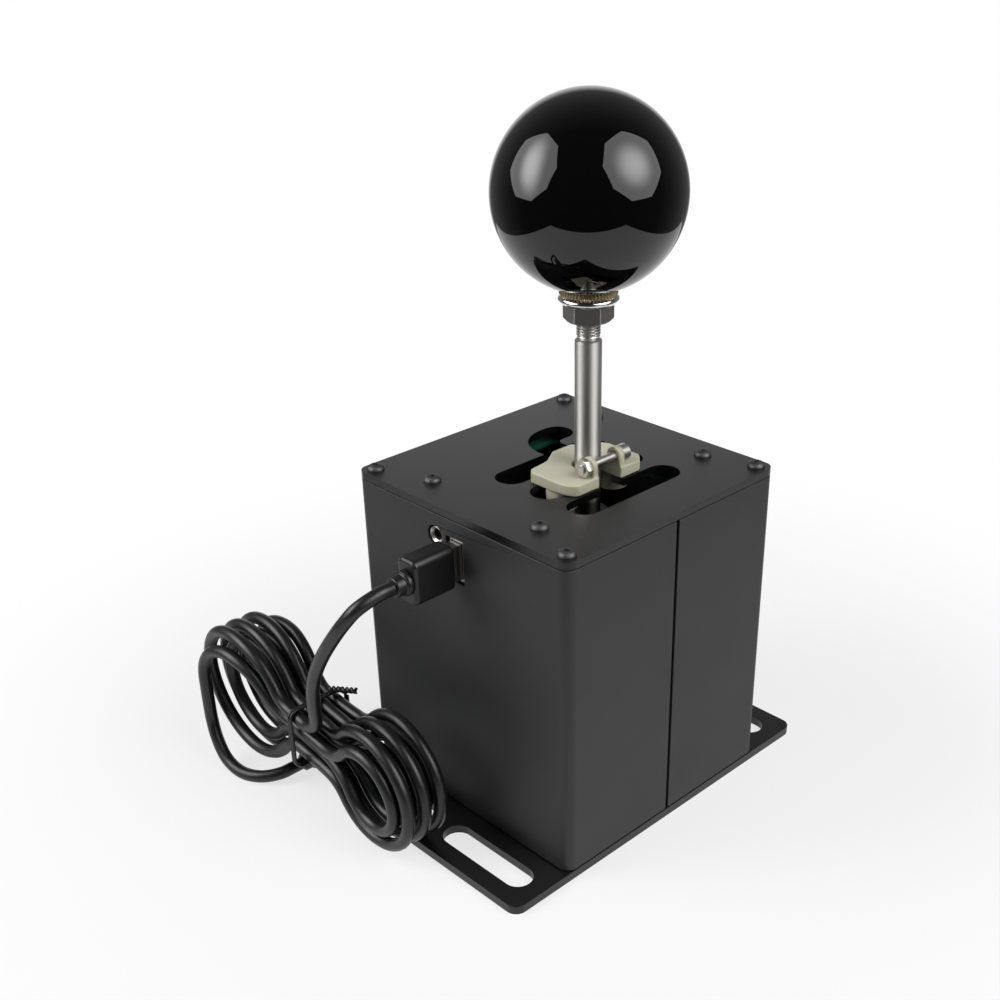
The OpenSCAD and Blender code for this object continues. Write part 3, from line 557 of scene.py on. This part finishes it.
gloss = add(powder, "ShaderNodeMath", operation="MULTIPLY")
powder.links.new(gin.outputs["Roughness"], gloss.inputs[0])
powder.links.new(clouded, gloss.inputs[1])
powder.links.new(gloss.outputs[0], gout.inputs["Roughness"])
powder.links.new(grain.outputs["Fac"], gout.inputs["Height"])

# %% Drawn streaks
streaks, gin, gout = new_group(
    "Drawn streaks",
    [("Colour", COLOUR, (0.6, 0.6, 0.6, 1)), ("Roughness", FLOAT, 0.3), ("Streaks", FLOAT, 0.3)],
    [("Colour", COLOUR), ("Roughness", FLOAT), ("Height", FLOAT)])
place = add(streaks, "ShaderNodeTexCoord")
stretch = add(streaks, "ShaderNodeVectorMath", operation="MULTIPLY")
stretch.inputs[1].default_value = (1, 1, 0.02)
drawn_noise = add(streaks, "ShaderNodeTexNoise")
drawn_noise.inputs["Scale"].default_value = 1800
drawn_noise.inputs["Detail"].default_value = 3
streaks.links.new(place.outputs["Object"], stretch.inputs[0])
streaks.links.new(stretch.outputs[0], drawn_noise.inputs["Vector"])
low = add(streaks, "ShaderNodeMath", operation="SUBTRACT")
low.inputs[0].default_value = 1
streaks.links.new(gin.outputs["Streaks"], low.inputs[1])
shade = vary(streaks, drawn_noise.outputs["Fac"], low.outputs[0], 1.0)
streaks.links.new(tint(streaks, gin.outputs["Colour"], shade), gout.inputs["Colour"])
gloss = add(streaks, "ShaderNodeMath", operation="DIVIDE")
streaks.links.new(gin.outputs["Roughness"], gloss.inputs[0])
streaks.links.new(shade, gloss.inputs[1])
streaks.links.new(gloss.outputs[0], gout.inputs["Roughness"])
streaks.links.new(drawn_noise.outputs["Fac"], gout.inputs["Height"])

# %% Moulded skin
moulded, gin, gout = new_group(
    "Moulded skin",
    [("Colour", COLOUR, (0.1, 0.1, 0.1, 1)), ("Roughness", FLOAT, 0.4), ("Waves", FLOAT, 120.0)],
    [("Colour", COLOUR), ("Roughness", FLOAT), ("Height", FLOAT)])
place = add(moulded, "ShaderNodeTexCoord")
waves = add(moulded, "ShaderNodeTexNoise")
waves.inputs["Detail"].default_value = 3
moulded.links.new(place.outputs["Object"], waves.inputs["Vector"])
moulded.links.new(gin.outputs["Waves"], waves.inputs["Scale"])
soft = vary(moulded, waves.outputs["Fac"], 0.92, 1.08)
moulded.links.new(tint(moulded, gin.outputs["Colour"], soft), gout.inputs["Colour"])
gloss = add(moulded, "ShaderNodeMath", operation="MULTIPLY")
moulded.links.new(gin.outputs["Roughness"], gloss.inputs[0])
moulded.links.new(vary(moulded, waves.outputs["Fac"], 0.8, 1.2), gloss.inputs[1])
moulded.links.new(gloss.outputs[0], gout.inputs["Roughness"])
moulded.links.new(waves.outputs["Fac"], gout.inputs["Height"])
print("groups:", [g.name for g in (powder, streaks, moulded)])

# %% [markdown]
# ## Finishes
# Each finish is a Principled shader fed by one of the groups.
# The black paint is satin, so it shows the softboxes as a broad sheen; the ball is polished
# plastic and shows them sharply; steel, chrome and brass differ in tint and in polish.
# The ivory plastic lets light in a little way, which its subsurface values say.


# %% Material maker
def finish(name, group, colour, roughness, bump=0.0, metallic=0.0, **inputs):
    """A Principled material fed by a group; bump is the height of its grain."""
    material = bpy.data.materials.new(name)
    material.use_nodes = True
    tree = material.node_tree
    shader = tree.nodes["Principled BSDF"]
    shader.inputs["Metallic"].default_value = metallic
    effect = add(tree, "ShaderNodeGroup", node_tree=group)
    effect.inputs["Colour"].default_value = (*colour, 1)
    effect.inputs["Roughness"].default_value = roughness
    for title, value in inputs.items():
        effect.inputs[title].default_value = value
    tree.links.new(effect.outputs["Colour"], shader.inputs["Base Color"])
    tree.links.new(effect.outputs["Roughness"], shader.inputs["Roughness"])
    if bump:
        relief = add(tree, "ShaderNodeBump")
        relief.inputs["Strength"].default_value = 1
        relief.inputs["Distance"].default_value = bump
        tree.links.new(effect.outputs["Height"], relief.inputs["Height"])
        tree.links.new(relief.outputs["Normal"], shader.inputs["Normal"])
    return material


# %% The finishes
STEEL = (0.57, 0.555, 0.53)
finishes = {
    "black_paint": finish("black_paint", powder, (0.014, 0.014, 0.0146), 0.54, bump=0.00001),
    "dark_screw": finish("dark_screw", powder, (0.10, 0.10, 0.102), 0.55, bump=0.00001,
                         metallic=1.0, Grain=3000.0),
    "steel": finish("steel", streaks, STEEL, 0.28, metallic=1.0),
    "bright_metal": finish("bright_metal", streaks, (0.78, 0.78, 0.78), 0.12, metallic=1.0, Streaks=0.1),
    "brass": finish("brass", streaks, (0.29, 0.235, 0.145), 0.27, metallic=1.0, Streaks=0.2),
    "aluminium": finish("aluminium", powder, (0.55, 0.56, 0.57), 0.42, metallic=1.0),
    "gloss_black": finish("gloss_black", moulded, (0.0012, 0.0012, 0.0013), 0.02, Waves=20.0),
    "ivory_plastic": finish("ivory_plastic", moulded, (0.41, 0.397, 0.305), 0.42, bump=0.00001,
                            Waves=300.0),
    "board_green": finish("board_green", moulded, (0.008, 0.07, 0.045), 0.4),
    "chip_black": finish("chip_black", moulded, (0.02, 0.02, 0.02), 0.5),
    "white_plastic": finish("white_plastic", moulded, (0.75, 0.75, 0.73), 0.4),
    "cord_black": finish("cord_black", moulded, (0.004, 0.004, 0.0043), 0.38, bump=0.00003, Waves=260.0),
    "magnet": finish("magnet", powder, (0.30, 0.30, 0.31), 0.4, metallic=1.0),
}
ivory = finishes["ivory_plastic"].node_tree.nodes["Principled BSDF"]
ivory.inputs["Subsurface Weight"].default_value = 0.5
ivory.inputs["Subsurface Radius"].default_value = (1, 0.9, 0.55)
ivory.inputs["Subsurface Scale"].default_value = 0.003
print("finishes:", ", ".join(finishes))

# %% [markdown]
# ## Finishes of single pieces
# The rod and its lock nut are ground while they turn, so fine marks run round them and blur
# what they mirror up and down, but not sideways: that is an anisotropic shader about the Z axis.
# Below the gate plate the rod's colour darkens downwards: painted shade inside the housing.
# The walls of the gate's lanes are darker than its face: painted shade in the lanes.


# %% Ground metal
def ground_round(material):
    """Blur the mirrored light along Z only."""
    tree = material.node_tree
    shader = tree.nodes["Principled BSDF"]
    shader.inputs["Anisotropic"].default_value = 0.85
    shader.inputs["Anisotropic Rotation"].default_value = 0.25
    around = add(tree, "ShaderNodeTangent", direction_type="RADIAL", axis="Z")
    tree.links.new(around.outputs[0], shader.inputs["Tangent"])


def painted_shade_by(material, vector, axis, span, tones):
    """Base colour times a painted shade that goes with one axis of a vector, taken without its sign."""
    tree = material.node_tree
    shader = tree.nodes["Principled BSDF"]
    split = add(tree, "ShaderNodeSeparateXYZ")
    plain = add(tree, "ShaderNodeMath", operation="ABSOLUTE")
    tree.links.new(add(tree, vector[0]).outputs[vector[1]], split.inputs[0])
    tree.links.new(split.outputs[axis], plain.inputs[0])
    tone = add(tree, "ShaderNodeMapRange")
    for title, value in zip(("From Min", "From Max", "To Min", "To Max"), (*span, *tones)):
        tone.inputs[title].default_value = value
    tree.links.new(plain.outputs[0], tone.inputs["Value"])
    colour = shader.inputs["Base Color"].links[0].from_socket
    tree.links.new(tint(tree, colour, tone.outputs["Result"]), shader.inputs["Base Color"])


plate_low, plate_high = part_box("gate_plate")
rod_steel_and_shade = finish("rod_steel_and_shade", streaks, STEEL, 0.46, metallic=1.0)
ground_round(rod_steel_and_shade)
# Painted shade: the rod's colour darkens from the top of the gate plate down to 6 mm below it, for the
# shade inside the housing.
ROD_PAINTED_SHADE = (plate_low.z - 6 * MM, plate_high.z)
painted_shade_by(rod_steel_and_shade, ("ShaderNodeTexCoord", "Object"), "Z", ROD_PAINTED_SHADE, (0.05, 1.0))
nut_metal = finish("nut_metal", powder, (0.23, 0.225, 0.217), 0.42, bump=0.00001, metallic=1.0)
ground_round(nut_metal)
print("ground:", rod_steel_and_shade.name, "and", nut_metal.name)

# %% Other single pieces
# Painted shade: upright faces, the lanes' walls and the plate's edges, get down to a tenth of the paint's
# colour.
gate_paint_and_wall_shade = finish("gate_paint_and_wall_shade", powder, (0.007, 0.007, 0.007), 0.31, bump=0.00002, Grain=1800.0)
painted_shade_by(gate_paint_and_wall_shade, ("ShaderNodeNewGeometry", "Normal"), "Z", (0, 1), (0.1, 1.0))
# Painted shade: the base plate has the same black paint as the shells, given a darker colour here for its
# shade.
base_paint_and_shade = finish("base_paint_and_shade", powder, (0.005, 0.005, 0.0052), 0.33, bump=0.00001)
plug_skin = finish("plug_skin", moulded, (0.003, 0.003, 0.0032), 0.40, bump=0.00002, Waves=260.0)
bolt_metal = finish("bolt_metal", streaks, (0.60, 0.58, 0.54), 0.30, metallic=1.0)
# Painted shade: the data socket and the plug's shell get a darker metal than bright_metal, for the socket's
# shade under the plug.
socket_metal_and_shade = finish("socket_metal_and_shade", streaks, (0.36, 0.35, 0.335), 0.28, metallic=1.0)
single = {"gate_plate": gate_paint_and_wall_shade, "base_plate": base_paint_and_shade, "lock_nut": nut_metal,
          "slider_bolt": bolt_metal, "slider_nut": bolt_metal, "data_socket": socket_metal_and_shade,
          "plug_shell": socket_metal_and_shade, "plug_body": plug_skin, "plug_relief": plug_skin,
          "far_body": plug_skin, "far_relief": plug_skin}
for row in frame["record"]["subparts"]:
    nodes[row["node"]].data.materials.clear()
    nodes[row["node"]].data.materials.append(single.get(row["node"], finishes[row["material_slot"]]))
for piece in (cord, tie, *tie_ends):
    piece.data.materials.append(finishes["cord_black"])
print("single pieces:", ", ".join(single))

# %% [markdown]
# ## Softened edges
# Laser-cut and folded sheet has slightly rounded, paint-filled edges that catch a thin line of
# light; moulded plastic has rounder ones.
# The frame's meshes are split at their edges, so a Weld modifier joins them first, a Bevel
# rounds what is sharper than an angle, and Weighted Normal keeps the flat faces flat.
# The plugs and the lock nut have wider roundings, for which a planar Decimate first makes whole
# flat faces of the triangles.


# %% Bevels
WELD_GAP = 0.000002
SHARP = math.radians(35)


def weld_faces(piece):
    """Join the faces of a frame's piece at their edges, without its stored normals."""
    if "custom_normal" in piece.data.attributes:
        piece.data.attributes.remove(piece.data.attributes["custom_normal"])
    weld = piece.modifiers.new("weld", "WELD")
    weld.merge_threshold = WELD_GAP


def soften(name, width, segments=2, whole=False):
    """Round a piece's sharp edges; whole makes whole flat faces first."""
    piece = nodes[name]
    weld_faces(piece)
    for face in piece.data.polygons:
        face.use_smooth = True
    if whole:
        joined = piece.modifiers.new("whole_faces", "DECIMATE")
        joined.decimate_type = "DISSOLVE"
        joined.angle_limit = math.radians(1)
    bevel = piece.modifiers.new("edges", "BEVEL")
    bevel.width = width
    bevel.segments = segments
    bevel.limit_method = "ANGLE"
    bevel.angle_limit = SHARP
    bevel.use_clamp_overlap = not whole
    even = piece.modifiers.new("flat_faces", "WEIGHTED_NORMAL")
    even.weight = 80


EDGES_MM = {"base_plate": 0.4, "front_shell": 0.3, "rear_shell": 0.3, "gate_plate": 0.3,
            "slider_bolt": 0.2, "slider_nut": 0.15, "corner_screws": 0.12, "board_screws": 0.12,
            "data_socket": 0.12}
WIDE_EDGES_MM = {"plug_body": 1.3, "far_body": 1.3, "plug_relief": 0.6, "far_relief": 0.6,
                 "lock_nut": 0.3}
for name, width in EDGES_MM.items():
    soften(name, width * MM)
for name, width in WIDE_EDGES_MM.items():
    soften(name, width * MM, segments=3, whole=True)
print("edges:", len(EDGES_MM), "thin and", len(WIDE_EDGES_MM), "wide")

# %% [markdown]
# ## The slider
# The slider is a thick moulding with rounded edges everywhere, also where its ears meet the plate.
# A bevel would need clean edges, so the solid is remeshed into small even squares instead, and
# smoothing them rounds every edge and fills every inner corner by the same amount.

# %% Moulded edges of the slider
SQUARE = 0.3 * MM
moulding = nodes["slider"]
weld_faces(moulding)
squares = moulding.modifiers.new("squares", "REMESH")
squares.mode = "VOXEL"
squares.voxel_size = SQUARE
squares.use_smooth_shade = True
rounded = moulding.modifiers.new("rounded", "SMOOTH")
rounded.factor = 0.5
rounded.iterations = 8
print("slider: squares of", SQUARE / MM, "mm,", rounded.iterations, "rounds of smoothing")

# %% [markdown]
# ## The knob
# The knob is a polished ball of black plastic, moulded over a metal insert.
# A lathed profile gives a rounder outline than the construction's facets: half a circle from
# the flat seat up to the top, spun about the lever's axis.


# %% Spun shapes
def spun(name, rings, centre, around, radius=None, closed=False):
    """Rings of radius and height about an upright axis; radius(ring, angle) may vary the first."""
    data = bpy.data.meshes.new(name)
    points, faces = [], []
    for n, (r, z) in enumerate(rings):
        for i in range(around):
            a = 2 * math.pi * i / around
            s = radius(n, a) if radius else r
            points.append((centre[0] + s * math.cos(a), centre[1] + s * math.sin(a), z))
    count = len(rings)
    for j in range(count if closed else count - 1):
        for i in range(around):
            k, m = (i + 1) % around, (j + 1) % count
            faces.append((j * around + i, j * around + k, m * around + k, m * around + i))
    if not closed:
        faces.append(tuple(reversed(range(around))))
        faces.append(tuple((count - 1) * around + i for i in range(around)))
    data.from_pydata(points, [], faces)
    data.polygons.foreach_set("use_smooth", [True] * len(faces))
    data.set_sharp_from_angle(angle=math.radians(40))
    piece = bpy.data.objects.new(name, data)
    bpy.context.scene.collection.objects.link(piece)
    return piece


LEVER = (ball.x, ball.y)
KNOB_STEPS = 64
TOP_ANGLE = 0.002
seat_angle = math.pi - math.acos((ball.z - knob_low.z) / KNOB_R)
profile = []
for i in range(KNOB_STEPS + 1):
    a = seat_angle - (seat_angle - TOP_ANGLE) * i / KNOB_STEPS
    profile.append((KNOB_R * math.sin(a), ball.z + KNOB_R * math.cos(a)))
knob = spun("ball_knob", profile, LEVER, 128)
knob.data.materials.append(finishes["gloss_black"])
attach(knob, "lever")
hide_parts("knob")
print("knob:", round(2 * KNOB_R / MM, 1), "mm across")

# %% [markdown]
# ## The rod and its thread
# The rod is drawn stainless steel with a turned shoulder and a rolled thread above it.
# A thread is a helix: the height of its crest grows with the angle, so each ring of points
# takes its radius from how far it lies along one turn, and the ridge climbs by itself.

# %% Rod
rod_low, rod_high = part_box("lever_rod")
ROD_R = (rod_high.x - rod_low.x) / 2
CREST_R, ROOT_R = ROD_R - 0.45 * MM, ROD_R - 0.9 * MM
PITCH, PITCH_STEPS = 0.9 * MM, 10
RIDGE_SLOPE, RIDGE_DIP = 3.08, 0.3
STEP = 0.1 * MM
nut_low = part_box("lock_nut")[0]
SHOULDER = nut_low.z - 5.8 * MM
CHAMFER = 0.6 * MM
rings = [(ROD_R, rod_low.z), (ROD_R, SHOULDER - CHAMFER), (ROD_R - CHAMFER, SHOULDER),
         (ROOT_R, SHOULDER + STEP)]
thread_z = SHOULDER + 3 * STEP
steps = int((nut_low.z + PITCH - thread_z) / (PITCH / PITCH_STEPS))
rings += [(CREST_R, thread_z + i * PITCH / PITCH_STEPS) for i in range(steps)]
rings += [(ROOT_R, rings[-1][1] + STEP), (ROOT_R, rod_high.z)]


def thread_radius(n, angle):
    """Radius of the rod at an angle: the crest's rings carry a ridge that climbs round them."""
    r, z = rings[n]
    if r != CREST_R:
        return r
    turn_share = ((z - thread_z) / PITCH - angle / (2 * math.pi)) % 1
    ridge = min(1, max(0, RIDGE_SLOPE * (0.5 - abs(turn_share - 0.5)) - RIDGE_DIP))
    runout = min(1, (z - thread_z) / PITCH)
    return ROOT_R + (CREST_R - ROOT_R) * ridge * runout


rod = spun("threaded_rod", rings, LEVER, 64, thread_radius)
rod.data.materials.append(rod_steel_and_shade)
rod.data.materials.append(finishes["steel"])
for face in rod.data.polygons:
    face.material_index = int(face.center.z > SHOULDER - CHAMFER)
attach(rod, "lever")
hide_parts("lever_rod")
print("rod:", len(rod.data.vertices), "points,", steps, "thread rings")

# %% [markdown]
# ## The collar and the knurled insert
# The collar is polished, with a fully rounded rim that gathers bright lines.
# The insert above it is brass with a knurl of upright ridges, rolled in so that it grips the
# plastic of the ball: a small zigzag of the radius round the rim makes them.

# %% Collar
collar_low, collar_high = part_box("knob_collar")
COLLAR_R = (collar_high.x - collar_low.x) / 2
BORE_R = CREST_R
RIM_STEPS = 12
edge = (collar_high.z - collar_low.z) / 2
rings = [(BORE_R, collar_low.z)]
for i in range(RIM_STEPS + 1):
    a = math.radians(-90 + 180 * i / RIM_STEPS)
    rings.append((COLLAR_R - edge + edge * math.cos(a), collar_low.z + edge + edge * math.sin(a)))
rings.append((BORE_R, collar_high.z))
collar = spun("polished_collar", rings, LEVER, 128, closed=True)
collar.data.materials.append(finishes["bright_metal"])
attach(collar, "lever")
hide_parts("knob_collar")
print("collar:", round(2 * COLLAR_R / MM, 1), "mm across")

# %% Knurled insert
insert_low, insert_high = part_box("knob_insert")
RIM_R = (insert_high.x - insert_low.x) / 2
STEM_R = RIM_R - 2.5 * MM
RIDGES = 48
KNURL = 0.6 * MM
rim_top = knob_low.z
rings = [(BORE_R, insert_low.z), (RIM_R - 0.5 * MM, insert_low.z), (RIM_R, insert_low.z + 0.35 * MM),
         (RIM_R, rim_top - 0.3 * MM), (RIM_R - 0.4 * MM, rim_top), (STEM_R, rim_top),
         (STEM_R, insert_high.z), (BORE_R, insert_high.z)]


def knurl_radius(n, angle):
    """Radius of the insert at an angle: a zigzag on the rim's rings."""
    r = rings[n][0]
    if r != RIM_R:
        return r
    share = (angle * RIDGES / (2 * math.pi)) % 1
    return r - KNURL * (1 - abs(2 * share - 1))


insert = spun("knurled_insert", rings, LEVER, RIDGES * 4, knurl_radius, closed=True)
insert.data.materials.append(finishes["brass"])
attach(insert, "lever")
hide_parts("knob_insert")
print("insert:", RIDGES, "ridges")

# %% [markdown]
# ## The rim of the jack
# The jack shows as a bright funnel with a black hole, because the plug's barrel goes into
# black plastic behind a turned metal sleeve, which sits a little back in its hole.
# Both are rings about a level axis: they are spun upright and then laid over.

# %% Jack
ring_low, ring_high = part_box("jack_ring")
RING_R = (ring_high.x - ring_low.x) / 2
RING_DEEP = ring_high.y - ring_low.y
SET_BACK = 0.7 * MM
HOLE_R, SLEEVE_R, LIP = 1.8 * MM, 2.0 * MM, 0.15 * MM
jack_at = Vector(((ring_low.x + ring_high.x) / 2, ring_low.y, (ring_low.z + ring_high.z) / 2))
lay_over = Matrix.Translation(jack_at) @ Matrix.Rotation(math.radians(-90), 4, "X")
rim = [(SLEEVE_R, RING_DEEP), (SLEEVE_R, SET_BACK + 5 * LIP), (RING_R - 2 * LIP, SET_BACK + LIP / 2),
       (RING_R - LIP, SET_BACK), (RING_R, SET_BACK + LIP), (RING_R, RING_DEEP)]
LINING_R = SLEEVE_R - 0.02 * MM
LINING_BACK = SET_BACK + 6 * LIP
lining = [(HOLE_R, RING_DEEP), (HOLE_R, LINING_BACK), (LINING_R, LINING_BACK), (LINING_R, RING_DEEP)]
for name, rings, slot, metal in (("jack_rim", rim, "bright_metal", bolt_metal),
                                 ("jack_lining", lining, "chip_black", finishes["chip_black"])):
    piece = spun(name, rings, (0, 0), 64, closed=True)
    piece.data.transform(lay_over)
    piece.data.materials.append(metal)
    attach(piece, "housing")
    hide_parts("jack_ring")
    print(name + ":", len(piece.data.vertices), "points")
